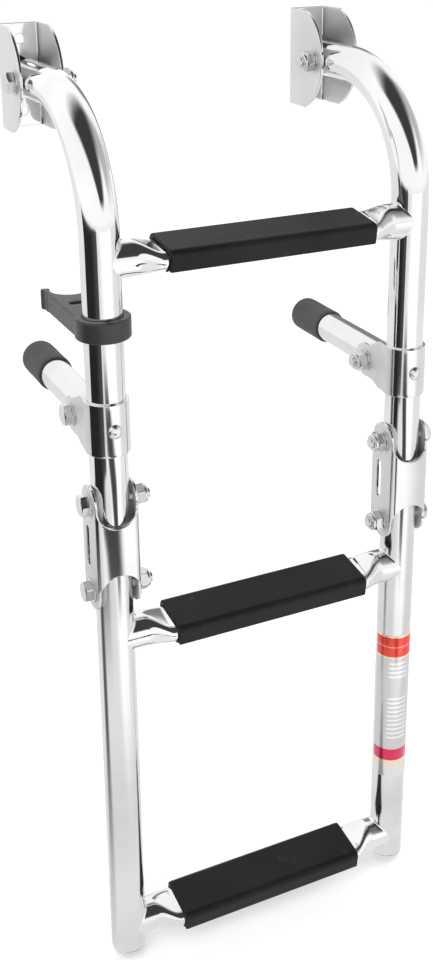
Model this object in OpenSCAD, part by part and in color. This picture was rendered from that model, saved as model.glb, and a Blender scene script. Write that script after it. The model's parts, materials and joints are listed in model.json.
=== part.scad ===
// Folding boat boarding ladder: three treads, two tube rails with swan-neck tops,
// two hull brackets, folding hinge links, stand-off arms and a rail retaining clip.
// Millimetres. Origin: hull face, midway between the brackets, at pivot height.
// +X right seen from the water side, +Y into the hull, +Z up. Shown hanging, unfolded.

/* [Rails] */
// outside diameter of the rail tube
rail_d = 25;            // [24:0.5:26]
// wall of the rail and rung tube
rail_wall = 1.6;        // [1.2:0.1:2.5]
// distance between the two rail axes
rail_spacing = 220;     // [200:1:300]
// distance from the hull face to the rail axes
rail_stand = 144;       // [140:1:170]
// centreline radius of the swan-neck bend
bend_r = 82;            // [70:1:88]
// height of the lowest point of the rails below the bracket pivot
rail_drop = 618;        // [610:1:660]

/* [Rungs and treads] */
// height of each rung below the bracket pivot
rung_top_drop = 94;     // [90:1:100]
rung_middle_drop = 353; // [350:1:380]
rung_bottom_drop = 593; // [560:1:593]
// outside diameter of the round rung ends
rung_d = 24;            // [22:0.5:24]
// depth and thickness of the flattened middle of a rung
flat_depth = 31;        // [28:0.5:31]
flat_thick = 12;        // [10:0.5:12]
// how far the flattened middle sits in front of the rail axes
flat_forward = 2.5;     // [0:0.5:4]
// forward slope of the tread in degrees
tread_tilt = 8;         // [0:1:12]
// length of the tread cover along the rung
tread_len = 145;        // [120:1:150]
// depth and height of the tread cover
tread_depth = 35.5;     // [34.5:0.5:38]
tread_height = 14;      // [13:0.5:16]

/* [Hull brackets] */
// height and depth of a bracket
bracket_h = 69;         // [66:1:80]
bracket_depth = 49;     // [47:1:52]
// distance from the hull face to the bracket pivot
bracket_pivot = 36;     // [35:1:38]
// thickness of the folded sheet of brackets, links and collars
sheet_t = 2;            // [1.5:0.25:2.25]
// vertical distance between the two screw holes in one bracket
bracket_hole_pitch = 48; // [44:1:50]
// screw hole diameter
bracket_hole_d = 6.6;   // [5:0.1:8]

/* [Hinge links] */
// height of the upper hinge bolt below the bracket pivot
hinge_drop = 253;       // [250:1:258]
// distance between the two hinge bolts of one link
hinge_pitch = 62;       // [60:1:66]
// slot in each side of a link
link_slot_len = 29;     // [20:1:32]
link_slot_w = 5;        // [4:0.5:7]

/* [Stand-off arms] */
// height of the collar centre below the bracket pivot
collar_drop = 200;      // [196:1:204]
// height of the collar
collar_h = 35;          // [30:1:38]
// outside diameter of the arm tube
arm_d = 22;             // [20:0.5:22]
// outside diameter and length of the rubber cap
cap_d = 25.5;           // [25:0.5:26]
cap_len = 41;           // [34:1:46]

/* [Retaining clip] */
// height of the clip centre below the bracket pivot
clip_drop = 135;        // [130:1:140]
// height of the clip
clip_h = 13.5;          // [11:0.5:15]

/* [Fasteners] */
// diameter of the pivot bolts
bolt_d = 8;             // [7:0.5:8]

/* [Hidden] */
rail_r = rail_d / 2;
rail_x = rail_spacing / 2;
rail_y = -rail_stand;
bore_gap = 0.05;                 // radial running clearance of the pivot bolts
joint_gap = 0.5;                 // side clearance of a tube between two cheeks
cheek_in = rail_r + joint_gap;   // inner face of a bracket ear or link cheek
cheek_out = cheek_in + sheet_t;
weld_gap = 0.02;                 // hairline left where welded tubes meet
hex_flats = 13;                  // across flats of bolt heads and nuts
hex_d = hex_flats / cos(30);
head_h = 5.3;
nut_h = 8;
bolt_tip = 2.2;                  // thread showing past the nut
washer_d = 16;
washer_t = 1.2;
leg_past_pivot = 16;             // tube past the bracket bolt
leg_end_y = -bracket_pivot + leg_past_pivot;
bend_y = rail_y + bend_r;
tube_past_hinge = 20;            // tube past a hinge bolt
upper_end_z = -hinge_drop - tube_past_hinge;
lower_hinge_z = -hinge_drop - hinge_pitch;
lower_start_z = lower_hinge_z + tube_past_hinge;
plug_dome = 8;                   // domed part of the foot plug
lower_end_z = -rail_drop + plug_dome;
tube_bore_r = rail_r - rail_wall;
web_clear = 1.5;                 // link web clear of the turning tube
notch_r = rail_r + web_clear;    // round notch in each end of the web
web_top_z = -hinge_drop - notch_r;
web_bottom_z = lower_hinge_z + notch_r;
web_horn = 6;                    // height of the web's corners above the notch floor
link_front = rail_r + joint_gap + sheet_t;
link_back = 13.5;
link_end_r = 13;
link_slot_y = 4;
fold_r = 3.5;                    // outside radius of a folded sheet corner
round_x = 90;                    // where the round rung end starts to flatten
flat_x = 77;                     // where the flattened middle starts
slab = 0.02;
ring_n = 36;                     // points round one rung cross-section
cover_floor = 2.3;               // cover wall above the rung
cover_gap = 0.1;
cover_slot = 23;                 // opening under the cover
cover_round = 4.5;
tread_up = flat_thick / 2 + cover_gap + cover_floor;
collar_r = rail_r + sheet_t;
collar_bolt_y = 30;              // collar bolt behind the rail axis
collar_bolt_drop = 2;            // collar bolt below the collar centre
collar_bolt_z = -collar_drop - collar_bolt_drop;
arm_cheek_in = arm_d / 2 + 0.4;
arm_cheek_out = arm_cheek_in + sheet_t;
arm_front = 12;                  // arm tube in front of the collar bolt
arm_wall = 1.5;
arm_tip_y = -0.5;                // rubber cap end, just off the hull
cap_end = 6;                     // solid end of the rubber cap
ear_r = 12;                      // round end of a collar ear
ear_clear = 1;
clip_gap = 0.3;
clip_ring_r = 17.5;
clip_reach = hinge_pitch;        // the clip holds the folded rail one link away
clip_web_w = 32;
clip_wall = 4;
clip_slot_w = 20;
clip_slot_d = 5;
screw_head_d = 9.5;
screw_head_h = 2.6;
screw_d = 5;
screw_len = 9;
decal_t = 0.3;
decal_top = 409;                 // decal top below the bracket pivot
decal_len = 125;
$fn = 96;

// ---------- shared shapes ----------

// cylinder along +X from x = a to x = b
module along_x(a, b, d, fn = 96) {
  translate([a, 0, 0]) rotate([0, 90, 0]) cylinder(d = d, h = b - a, $fn = fn);
}

// cylinder along +Y from y = a to y = b
module along_y(a, b, d) {
  translate([0, a, 0]) rotate([-90, 0, 0]) cylinder(d = d, h = b - a);
}

// hexagon prism along +X
module hex_x(a, b) {
  translate([a, 0, 0]) rotate([0, 90, 0]) cylinder(d = hex_d, h = b - a, $fn = 6);
}

// everything of one side, drawn for the right rail and mirrored for the left
module side(s) {
  if (s > 0) children();
  else mirror([1, 0, 0]) children();
}

// pivot bolt: head outside (+X), thread through to the nut inside (-X)
module pivot_bolt(half) {
  union() {
    along_x(-half - washer_t - nut_h - bolt_tip, half + washer_t + slab, bolt_d);
    translate([half, 0, 0]) rotate([0, 90, 0]) cylinder(d = washer_d, h = washer_t);
    hex_x(half + washer_t, half + washer_t + head_h);
  }
}

// washer and nut on the inside end of a pivot bolt
module pivot_nut(half) {
  difference() {
    union() {
      along_x(-half - washer_t, -half, washer_d);
      hex_x(-half - washer_t - nut_h + 2, -half - washer_t);
      along_x(-half - washer_t - nut_h, -half - washer_t - nut_h + 2, hex_flats - 0.6);
    }
    along_x(-half - washer_t - nut_h - 1, -half + 1, bolt_d);
  }
}

// ---------- hull brackets ----------

// bracket ear outline in the Y-Z plane, flat against the web, D shaped in front
module ear_shape() {
  ear_flat = 14;
  corner = 14;
  union() {
    translate([-ear_flat, -bracket_h / 2]) square([ear_flat, bracket_h]);
    intersection() {
      translate([-bracket_depth, -bracket_h / 2]) square([bracket_depth, bracket_h]);
      union() {
        translate([-bracket_depth + bracket_h / 2 + 2, 0]) circle(r = bracket_h / 2 + 2);
        translate([-ear_flat, -corner]) square([ear_flat, 2 * corner]);
      }
    }
  }
}

module bracket() {
  translate([rail_x, 0, 0]) difference() {
    // U section cut to the D outline of the ears
    intersection() {
      translate([0, 0, -bracket_h / 2]) linear_extrude(bracket_h) union() {
        translate([-cheek_out + fold_r, -sheet_t]) square([2 * (cheek_out - fold_r), sheet_t]);
        for (m = [-1, 1]) {
          translate([m > 0 ? cheek_in : -cheek_out, -bracket_depth])
            square([sheet_t, bracket_depth - fold_r]);
          translate([m * (cheek_out - fold_r), -fold_r]) difference() {
            circle(r = fold_r);
            circle(r = fold_r - sheet_t);
            translate([m > 0 ? -2 * fold_r : 0, -2 * fold_r]) square([2 * fold_r, 4 * fold_r]);
            translate([-2 * fold_r, -2 * fold_r]) square([4 * fold_r, 2 * fold_r]);
          }
        }
      }
      rotate([90, 0, 90]) translate([0, 0, -cheek_out - 1])
        linear_extrude(2 * cheek_out + 2) ear_shape();
    }
    translate([0, -bracket_pivot, 0])
      along_x(-cheek_out - 1, cheek_out + 1, bolt_d + 2 * bore_gap);
    for (z = [-1, 1]) translate([0, 0, z * bracket_hole_pitch / 2])
      along_y(-sheet_t - 1, 1, bracket_hole_d);
  }
}

module bracket_left() color("silver") side(-1) bracket();
module bracket_right() color("silver") side(1) bracket();

module bracket_bolts() color("gainsboro") for (s = [-1, 1]) side(s)
  translate([rail_x, -bracket_pivot, 0]) pivot_bolt(cheek_out);

module bracket_nuts() color("gainsboro") for (s = [-1, 1]) side(s)
  translate([rail_x, -bracket_pivot, 0]) pivot_nut(cheek_out);

// ---------- upper section ----------

// swan-neck rail as a solid rod of radius r; over lengthens both open ends for cutting
module swan_neck(r, over) {
  union() {
    translate([0, bend_y, 0]) rotate([-90, 0, 0])
      cylinder(r = r, h = leg_end_y - bend_y + over);
    translate([0, bend_y, -bend_r]) rotate([0, -90, 0])
      rotate([0, 0, -90]) rotate_extrude(angle = 90) translate([bend_r, 0]) circle(r = r);
    translate([0, rail_y, upper_end_z - over])
      cylinder(r = r, h = -bend_r - upper_end_z + over);
  }
}

module rail_upper() {
  translate([rail_x, 0, 0]) difference() {
    swan_neck(rail_r, 0);
    swan_neck(tube_bore_r, 1);
    translate([0, -bracket_pivot, 0])
      along_x(-rail_d, rail_d, bolt_d + 2 * bore_gap);
    translate([0, rail_y, -hinge_drop])
      along_x(-rail_d, rail_d, bolt_d + 2 * bore_gap);
  }
}

module rail_upper_left() color("lightgray") side(-1) rail_upper();
module rail_upper_right() color("lightgray") side(1) rail_upper();

// plug closing the open tube end behind each bracket bolt
module leg_plugs() color("dimgray") for (s = [-1, 1]) side(s)
  translate([rail_x, leg_end_y, 0]) union() {
    along_y(0, 2, rail_d - 1);
    along_y(-9, 0, 2 * tube_bore_r);
  }

// outline of the flattened rung middle, grown by g
module flat_shape(g = 0) {
  w = flat_depth - flat_thick;
  union() {
    square([w, flat_thick + 2 * g], center = true);
    for (m = [-1, 1]) translate([m * w / 2, 0]) circle(d = flat_thick + 2 * g);
  }
}

// one cross-section of a rung at x: t = 0 flattened, t = 1 round; g shrinks it inward
function rung_ring(x, t, g) = [
  for (i = [0 : ring_n - 1])
    let (a = (i + 0.5) * 360 / ring_n, half_t = flat_thick / 2 - g,
         fy = sign(cos(a)) * (flat_depth - flat_thick) / 2 + half_t * cos(a),
         fz = half_t * sin(a), r = rung_d / 2 - g)
      [x,
       (1 - t) * (fy * cos(tread_tilt) - fz * sin(tread_tilt) - flat_forward) + t * r * cos(a),
       (1 - t) * (fy * sin(tread_tilt) + fz * cos(tread_tilt)) + t * r * sin(a)]];

// rung body lofted through [x, t] stations
module rung_body(g, stations) {
  n = len(stations);
  polyhedron(
    points = [for (s = stations) each rung_ring(s[0], s[1], g)],
    faces = concat(
      [[for (i = [0 : ring_n - 1]) i]],
      [[for (i = [0 : ring_n - 1]) n * ring_n - 1 - i]],
      [for (k = [0 : n - 2], i = [0 : ring_n - 1]) let (j = (i + 1) % ring_n)
        [k * ring_n + i, (k + 1) * ring_n + i, (k + 1) * ring_n + j]],
      [for (k = [0 : n - 2], i = [0 : ring_n - 1]) let (j = (i + 1) % ring_n)
        [k * ring_n + i, (k + 1) * ring_n + j, k * ring_n + j]]));
}

module rung(z) {
  step = (round_x - flat_x) / 4;
  half_out = [[flat_x, 0], [flat_x + step, 0.16], [flat_x + 2 * step, 0.5],
              [flat_x + 3 * step, 0.84], [round_x, 1], [rail_x, 1]];
  half_in = [[flat_x + 1, 0], [flat_x + 2 * step, 0.45], [round_x + 1, 1], [rail_x + 1, 1]];
  translate([0, rail_y, z]) difference() {
    rung_body(0, both_ends(half_out));
    rung_body(rail_wall, both_ends(half_in));
    for (m = [-1, 1]) translate([m * rail_x, 0, -rail_d])
      cylinder(r = rail_r + weld_gap, h = 2 * rail_d);
  }
}

// stations of one half mirrored to the other end
function both_ends(half) = concat(
  [for (i = [len(half) - 1 : -1 : 0]) [-half[i][0], half[i][1]]], half);

// moulded cover that snaps over the flattened rung from above
module tread(z) {
  translate([0, rail_y - flat_forward, z]) rotate([tread_tilt, 0, 0])
    rotate([90, 0, 90]) translate([0, 0, -tread_len / 2]) linear_extrude(tread_len)
      difference() {
        translate([-tread_depth / 2, tread_up - tread_height]) union() {
          translate([0, 1]) square([tread_depth, tread_height - 1 - cover_round]);
          translate([1, 0]) square([tread_depth - 2, 2]);
          translate([cover_round, tread_height - cover_round - 1])
            square([tread_depth - 2 * cover_round, cover_round + 1]);
          for (x = [cover_round, tread_depth - cover_round])
            translate([x, tread_height - cover_round]) circle(r = cover_round);
          for (x = [1, tread_depth - 1]) translate([x, 1]) circle(r = 1);
        }
        flat_shape(cover_gap);
        translate([-cover_slot / 2, -tread_height]) square([cover_slot, tread_height]);
      }
}

module rung_top() color("lightgray") rung(-rung_top_drop);
module rung_middle() color("lightgray") rung(-rung_middle_drop);
module rung_bottom() color("lightgray") rung(-rung_bottom_drop);
module tread_top() color([0.13, 0.13, 0.13]) tread(-rung_top_drop);
module tread_middle() color([0.13, 0.13, 0.13]) tread(-rung_middle_drop);
module tread_bottom() color([0.13, 0.13, 0.13]) tread(-rung_bottom_drop);

// ---------- collars and stand-off arms ----------

// collar band around the rail with two ears reaching back to the arm bolt
module collar() {
  ear_len = collar_bolt_y;
  translate([rail_x, rail_y, -collar_drop]) difference() {
    union() {
      difference() {
        translate([0, 0, -collar_h / 2]) cylinder(r = collar_r, h = collar_h);
        translate([-arm_cheek_in, 0, -collar_h]) cube([2 * arm_cheek_in, 2 * rail_d, 2 * collar_h]);
      }
      for (m = [-1, 1]) translate([m > 0 ? arm_cheek_in : -arm_cheek_out, 0, 0])
        rotate([90, 0, 90]) linear_extrude(sheet_t) union() {
          translate([0, -collar_bolt_drop]) union() {
            translate([ear_len, 0]) circle(r = ear_r);
            translate([0, -ear_r]) square([ear_len, 2 * ear_r]);
          }
          translate([0, -collar_h / 2]) square([rail_r - ear_clear, collar_h]);
          polygon([[rail_r - ear_clear, collar_h / 2], [rail_r - ear_clear, -collar_h / 2],
                   [ear_len - 6, -ear_r], [ear_len - 4, ear_r - collar_bolt_drop]]);
        }
    }
    translate([0, 0, -collar_h]) cylinder(r = rail_r, h = 2 * collar_h);
    translate([0, collar_bolt_y, -collar_bolt_drop])
      along_x(-rail_d, rail_d, bolt_d);
    along_y(-rail_d, 0, screw_d);
  }
}

module collar_left() color("silver") side(-1) collar();
module collar_right() color("silver") side(1) collar();

// round-head screw through the front of each collar into the rail
module collar_screws() color("gainsboro") for (s = [-1, 1]) side(s)
  translate([rail_x, rail_y - collar_r, -collar_drop]) difference() {
    union() {
      rotate([90, 0, 0]) cylinder(d1 = screw_head_d, d2 = screw_head_d - 2.4, h = screw_head_h);
      along_y(0, sheet_t, screw_d);
    }
    translate([-screw_head_d, -screw_head_h - 1, -0.6]) cube([2 * screw_head_d, 2, 1.2]);
  }

module collar_bolts() color("gainsboro") for (s = [-1, 1]) side(s)
  translate([rail_x, rail_y + collar_bolt_y, collar_bolt_z]) pivot_bolt(arm_cheek_out);

module collar_nuts() color("gainsboro") for (s = [-1, 1]) side(s)
  translate([rail_x, rail_y + collar_bolt_y, collar_bolt_z]) pivot_nut(arm_cheek_out);

// stand-off arm: open tube with the rubber cap over its hull end
module arm() {
  back = arm_tip_y - cap_end - (rail_y + collar_bolt_y);
  translate([rail_x, rail_y + collar_bolt_y, collar_bolt_z]) difference() {
    along_y(-arm_front, back, arm_d);
    along_y(-arm_front - 1, back + 1, arm_d - 2 * arm_wall);
    along_x(-arm_d, arm_d, bolt_d + 2 * bore_gap);
  }
}

module arm_cap() {
  translate([rail_x, arm_tip_y, collar_bolt_z]) rotate([90, 0, 0]) difference() {
    rotate_extrude() union() {
      square([cap_d / 2 - 3, cap_len]);
      translate([0, 3]) square([cap_d / 2, cap_len - 4]);
      translate([cap_d / 2 - 3, 3]) circle(r = 3);
      translate([cap_d / 2 - 3, cap_len - 1.01]) square([2, 1.01]);
    }
    translate([0, 0, cap_end]) cylinder(d = arm_d, h = cap_len);
  }
}

module arm_left() color("lightgray") side(-1) arm();
module arm_right() color("lightgray") side(1) arm();
module arm_cap_left() color([0.25, 0.25, 0.26]) side(-1) arm_cap();
module arm_cap_right() color([0.25, 0.25, 0.26]) side(1) arm_cap();

// ---------- hinge links ----------

// side outline of a link in Y-Z, seen from +X, centred on the rail axis
module link_side() {
  union() {
    polygon([[-link_front, web_bottom_z - web_horn + 1], [-link_end_r, web_bottom_z - 2 * web_horn],
             [link_back, web_bottom_z - 2 * web_horn], [link_back, web_top_z + 2 * web_horn],
             [-link_end_r, web_top_z + 2 * web_horn], [-link_front, web_top_z + web_horn - 1]]);
    for (z = [-hinge_drop, lower_hinge_z]) translate([0, z]) circle(r = link_end_r);
    translate([-link_end_r, lower_hinge_z]) square([link_end_r + link_back, hinge_pitch]);
  }
}

module hinge_link() {
  translate([rail_x, rail_y, 0]) difference() {
    intersection() {
      translate([0, 0, lower_hinge_z - 2 * link_end_r]) linear_extrude(hinge_pitch + 4 * link_end_r)
        union() {
          for (m = [-1, 1]) {
            translate([m > 0 ? cheek_in : -cheek_out, -link_front + fold_r])
              square([sheet_t, link_front + link_back - fold_r]);
            translate([m * (cheek_out - fold_r), -link_front + fold_r]) difference() {
              circle(r = fold_r);
              circle(r = fold_r - sheet_t);
              translate([m > 0 ? -2 * fold_r : 0, -2 * fold_r]) square([2 * fold_r, 4 * fold_r]);
              translate([-2 * fold_r, 0]) square([4 * fold_r, 2 * fold_r]);
            }
          }
          translate([-cheek_out + fold_r, -link_front]) square([2 * (cheek_out - fold_r), sheet_t]);
        }
      rotate([90, 0, 90]) translate([0, 0, -cheek_out - 1])
        linear_extrude(2 * cheek_out + 2) link_side();
    }
    // a round notch in each end of the web lets the tubes swing past it
    for (z = [-hinge_drop, lower_hinge_z]) translate([0, -link_front - 1, z]) rotate([-90, 0, 0])
      cylinder(r = notch_r, h = sheet_t + 2.2);
    for (z = [-hinge_drop, lower_hinge_z]) translate([0, 0, z])
      along_x(-cheek_out - 1, cheek_out + 1, bolt_d);
    // long slot in both cheeks
    translate([0, link_slot_y, (web_top_z + web_bottom_z) / 2]) for (z = [-1, 1])
      translate([0, 0, z * (link_slot_len - link_slot_w) / 2])
        along_x(-cheek_out - 1, cheek_out + 1, link_slot_w);
    translate([-cheek_out - 1, link_slot_y - link_slot_w / 2,
               (web_top_z + web_bottom_z) / 2 - (link_slot_len - link_slot_w) / 2])
      cube([2 * cheek_out + 2, link_slot_w, link_slot_len - link_slot_w]);
  }
}

module hinge_link_left() color("silver") side(-1) hinge_link();
module hinge_link_right() color("silver") side(1) hinge_link();

module hinge_bolts() color("gainsboro") for (s = [-1, 1]) for (z = [-hinge_drop, lower_hinge_z])
  side(s) translate([rail_x, rail_y, z]) pivot_bolt(cheek_out);

module hinge_nuts() color("gainsboro") for (s = [-1, 1]) for (z = [-hinge_drop, lower_hinge_z])
  side(s) translate([rail_x, rail_y, z]) pivot_nut(cheek_out);

// ---------- lower section ----------

module rail_lower() {
  translate([rail_x, rail_y, 0]) difference() {
    translate([0, 0, lower_end_z]) cylinder(r = rail_r, h = lower_start_z - lower_end_z);
    translate([0, 0, lower_end_z - 1]) cylinder(r = tube_bore_r, h = lower_start_z - lower_end_z + 2);
    translate([0, 0, lower_hinge_z]) along_x(-rail_d, rail_d, bolt_d + 2 * bore_gap);
  }
}

module rail_lower_left() color("lightgray") side(-1) rail_lower();
module rail_lower_right() color("lightgray") side(1) rail_lower();

// domed plug closing the foot of each lower rail
module foot_plugs() color("lightgray") for (s = [-1, 1]) side(s)
  translate([rail_x, rail_y, lower_end_z]) union() {
    rotate_extrude() union() {
      translate([0, -plug_dome]) square([rail_r - plug_dome + 1, plug_dome]);
      intersection() {
        translate([rail_r - plug_dome, 0]) circle(r = plug_dome);
        translate([0, -plug_dome]) square([rail_r, plug_dome]);
      }
    }
    cylinder(r = tube_bore_r, h = 10);
  }

// thin plain sleeve decal part way round the right lower rail
module decal() color([0.85, 0.3, 0.25])
  translate([rail_x, rail_y, -decal_top - decal_len]) difference() {
    cylinder(r = rail_r + decal_t, h = decal_len);
    translate([0, 0, -1]) cylinder(r = rail_r, h = decal_len + 2);
    translate([-rail_d, 2, -1]) cube([2 * rail_d, rail_d, decal_len + 2]);
  }

// ---------- retaining clip ----------

// ring on the left upper rail with an open cradle that takes the folded lower rail
module retaining_clip() color([0.16, 0.16, 0.17])
  translate([-rail_x, rail_y, -clip_drop - clip_h / 2]) linear_extrude(clip_h) union() {
    tip = 4;
    lip_angle = 22;
    difference() {
      union() {
        circle(r = clip_ring_r);
        translate([-clip_web_w / 2, 0]) square([clip_web_w, clip_reach]);
        translate([0, clip_reach]) circle(r = clip_web_w / 2 + 0.5);
      }
      circle(r = rail_r + bore_gap);
      translate([0, clip_reach]) circle(r = rail_r + clip_gap);
      translate([-rail_r * cos(lip_angle), clip_reach])
        square([2 * rail_r * cos(lip_angle), 2 * rail_d]);
      translate([-rail_d, clip_reach + rail_r * sin(lip_angle) + tip / 2])
        square([2 * rail_d, 2 * rail_d]);
      translate([-clip_slot_w / 2, clip_reach / 2 - 2]) square([clip_slot_w, clip_slot_d]);
    }
    for (m = [-1, 1]) translate([m * (clip_web_w / 2 - 0.6), clip_reach + rail_r * sin(lip_angle) + 1])
      circle(r = 2.4);
  }

bracket_left();
bracket_right();
bracket_bolts();
bracket_nuts();
rail_upper_left();
rail_upper_right();
leg_plugs();
rung_top();
tread_top();
collar_left();
collar_right();
collar_screws();
collar_bolts();
collar_nuts();
arm_left();
arm_cap_left();
arm_right();
arm_cap_right();
hinge_link_left();
hinge_link_right();
hinge_bolts();
hinge_nuts();
rail_lower_left();
rail_lower_right();
foot_plugs();
rung_middle();
tread_middle();
rung_bottom();
tread_bottom();
decal();
retaining_clip();
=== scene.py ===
import json
import math

import bmesh
import bpy
from mathutils import Matrix, Vector
from mathutils.geometry import tessellate_polygon


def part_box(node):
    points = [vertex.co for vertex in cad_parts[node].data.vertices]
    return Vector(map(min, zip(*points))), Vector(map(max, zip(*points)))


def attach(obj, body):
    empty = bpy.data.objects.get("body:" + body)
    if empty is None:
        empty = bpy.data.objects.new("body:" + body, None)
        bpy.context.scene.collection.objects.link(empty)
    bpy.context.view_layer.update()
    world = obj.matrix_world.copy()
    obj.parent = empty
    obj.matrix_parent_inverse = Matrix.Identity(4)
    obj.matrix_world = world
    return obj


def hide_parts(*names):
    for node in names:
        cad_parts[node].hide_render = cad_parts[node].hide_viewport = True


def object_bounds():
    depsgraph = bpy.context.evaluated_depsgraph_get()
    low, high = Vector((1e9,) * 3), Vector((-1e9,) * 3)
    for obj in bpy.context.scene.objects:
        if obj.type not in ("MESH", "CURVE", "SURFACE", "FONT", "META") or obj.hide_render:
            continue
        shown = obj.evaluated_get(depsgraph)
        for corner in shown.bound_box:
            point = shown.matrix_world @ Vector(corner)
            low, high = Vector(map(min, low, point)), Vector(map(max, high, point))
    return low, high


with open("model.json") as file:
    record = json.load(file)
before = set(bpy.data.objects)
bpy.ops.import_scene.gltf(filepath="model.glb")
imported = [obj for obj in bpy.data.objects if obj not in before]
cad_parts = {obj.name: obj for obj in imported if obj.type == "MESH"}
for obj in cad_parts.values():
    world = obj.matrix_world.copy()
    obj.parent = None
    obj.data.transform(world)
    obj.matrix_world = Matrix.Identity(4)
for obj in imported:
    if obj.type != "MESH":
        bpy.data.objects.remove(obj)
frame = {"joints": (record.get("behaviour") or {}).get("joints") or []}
cad_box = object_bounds()

MM = 0.001


# ---------- sizes, in millimetres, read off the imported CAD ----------
def box_mm(node):
    """Low and high corner of a CAD node's box."""
    lo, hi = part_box(node)
    return lo / MM, hi / MM


upper_lo, upper_hi = box_mm("rail_upper_right")
lower_lo, lower_hi = box_mm("rail_lower_right")
RAIL_X = (lower_lo.x + lower_hi.x) / 2
RAIL_Y = (lower_lo.y + lower_hi.y) / 2
RAIL_R = (lower_hi.x - lower_lo.x) / 2
LEG_END_Y = upper_hi.y
UPPER_END_Z = upper_lo.z
LOWER_TOP_Z, LOWER_END_Z = lower_hi.z, lower_lo.z
joint_at = {j["name"]: [c / MM for c in j["pos_m"]] for j in frame["joints"]}
PIVOT = joint_at["ladder_swing"]
ARM_PIVOT = joint_at["standoff_right_fold"]
HINGE_Z, LOWER_HINGE_Z = joint_at["link_fold"][2], joint_at["lower_fold"][2]
CHEEK_OUT = box_mm("bracket_right")[1].x - RAIL_X

# sizes that the boxes don't give, the same as in the CAD source
WALL = 1.6        # rail tube
BEND_R = 82.0     # middle line of the swan neck
SHEET = 2.0       # folded sheet parts
FOLD_R = 3.5      # outside of their folds
SHEET_EDGE = 0.4  # rounding of their cut edges
BOLT_R = 4.0
GAP = 0.02        # air between two parts that touch
CHEEK_MID = CHEEK_OUT - SHEET / 2


# ---------- mesh helpers ----------
class Shape:
    """Points in millimetres and faces, with a material number for each face."""

    def __init__(self):
        self.verts, self.faces, self.mats = [], [], []

    def add(self, verts, faces):
        base = len(self.verts)
        self.verts += verts
        self.faces += [[base + i for i in f] for f in faces]
        self.mats += [0] * len(faces)
        return self

    def join(self, other, place=None, mat=None):
        """Adds another shape's points, moved by place, and its faces."""
        base = len(self.verts)
        self.verts += [place(v) if place else v for v in other.verts]
        self.faces += [[base + i for i in f] for f in other.faces]
        self.mats += [m if mat is None else mat for m in other.mats]
        return self


def mirrored(v):
    return (-v[0], v[1], v[2])


SIDES = (("left", mirrored), ("right", None))


def both_sides(shape):
    """A shape made on the right, and its mirror image on the left."""
    return Shape().join(shape).join(shape, place=mirrored)


def grid_faces(rows, cols, ring=True, closed=False):
    """Quads between rows of points. ring joins the two ends of each row, closed joins the
    last row to the first."""
    across, along = cols if ring else cols - 1, rows if closed else rows - 1
    return [[k * cols + i, k * cols + (i + 1) % cols,
             (k + 1) % rows * cols + (i + 1) % cols, (k + 1) % rows * cols + i]
            for k in range(along) for i in range(across)]


MERGE_DIST, SLIVER_DIST = 2e-7, 1e-7  # metres


def make(name, shape, body, mats, nodes, angle=32.0, weighted=True):
    """A mesh object from a Shape, riding on a body and standing for CAD nodes. Edges sharper
    than angle degrees stay sharp; weighted keeps the flat faces flat in the shading."""
    bm = bmesh.new()
    verts = [bm.verts.new(Vector(v) * MM) for v in shape.verts]
    for f, m in zip(shape.faces, shape.mats):
        try:
            face = bm.faces.new([verts[i] for i in f])
        except ValueError:
            continue
        face.material_index = m
        face.smooth = True
    bmesh.ops.remove_doubles(bm, verts=bm.verts, dist=MERGE_DIST)
    bmesh.ops.dissolve_degenerate(bm, edges=bm.edges, dist=SLIVER_DIST)
    bmesh.ops.recalc_face_normals(bm, faces=bm.faces)
    mesh = bpy.data.meshes.new(name)
    bm.to_mesh(mesh)
    bm.free()
    mesh.set_sharp_from_angle(angle=math.radians(angle))
    for m in mats:
        mesh.materials.append(m)
    obj = bpy.data.objects.new(name, mesh)
    bpy.context.scene.collection.objects.link(obj)
    if weighted:
        obj.modifiers.new("weighted", "WEIGHTED_NORMAL").keep_sharp = True
    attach(obj, body)
    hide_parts(*nodes)


def arc(cx, cy, r, a0, a1, n):
    """n + 1 points on an arc, angles in degrees."""
    return [(cx + r * math.cos(math.radians(a0 + (a1 - a0) * i / n)),
             cy + r * math.sin(math.radians(a0 + (a1 - a0) * i / n))) for i in range(n + 1)]


def circle(cx, cy, r, n=40):
    """Clockwise loop, as plate() wants its holes."""
    return arc(cx, cy, r, 0, 360, n)[:-1][::-1]


def inset(loop, e):
    """The loop moved by e towards its left, which is the material side."""
    out = []
    for i, p in enumerate(loop):
        a, b = loop[i - 1], loop[(i + 1) % len(loop)]
        d0 = Vector((p[0] - a[0], p[1] - a[1])).normalized()
        d1 = Vector((b[0] - p[0], b[1] - p[1])).normalized()
        n0, n1 = Vector((-d0.y, d0.x)), Vector((-d1.y, d1.x))
        m = (n0 + n1) / max(0.4, 1 + n0.dot(n1))
        out.append((p[0] + e * m.x, p[1] + e * m.y))
    return out


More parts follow.
